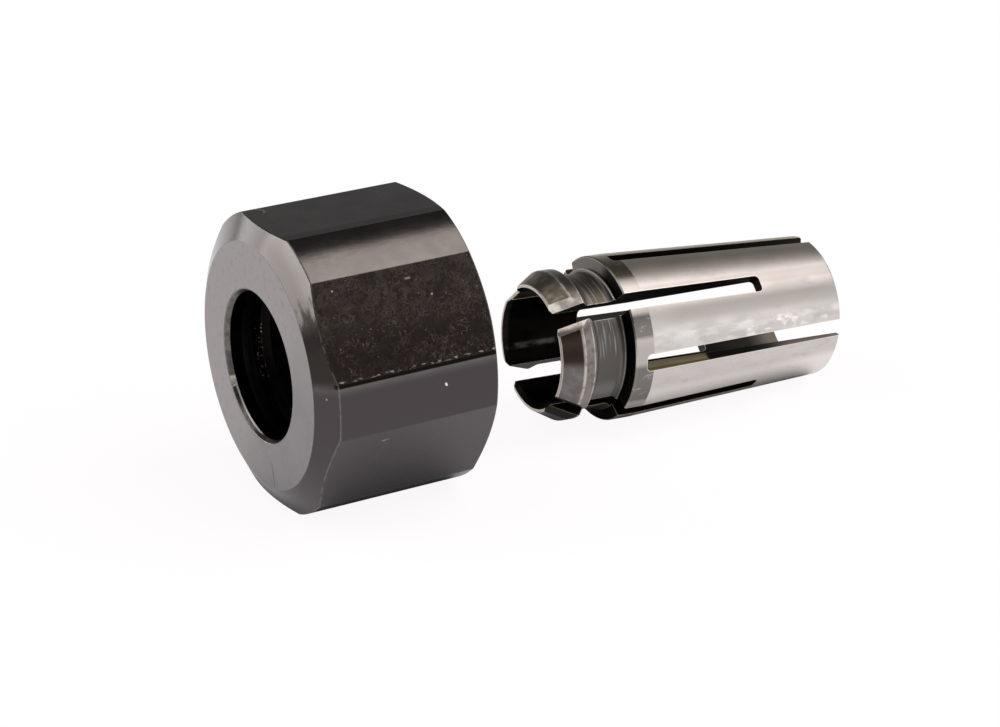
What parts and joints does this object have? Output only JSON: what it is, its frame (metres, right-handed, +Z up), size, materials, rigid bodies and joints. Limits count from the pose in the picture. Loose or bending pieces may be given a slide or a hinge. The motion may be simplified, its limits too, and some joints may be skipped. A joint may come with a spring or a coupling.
{
  "type": "router collet",
  "caption": "Slotted spring collet that grips a cutter's shank, with the round nut that draws it into a router's spindle.",
  "frame": {"origin": "on the table, under the middle of the set's bounding box", "axes": "+X along the nut's axis, from its front face towards the collet's tail; +Z up from the flat that the nut rests on; +Y to the far side in the picture"},
  "size_m": [0.0434, 0.0202, 0.019],
  "materials": {
    "blackened_steel": "black oxide over turned and milled steel",
    "ground_steel": "ground taper, turned nose"
  },
  "bodies": {
    "root": {"collet_nut": "blackened_steel", "spring_collet": "ground_steel"}
  },
  "joints": []
}
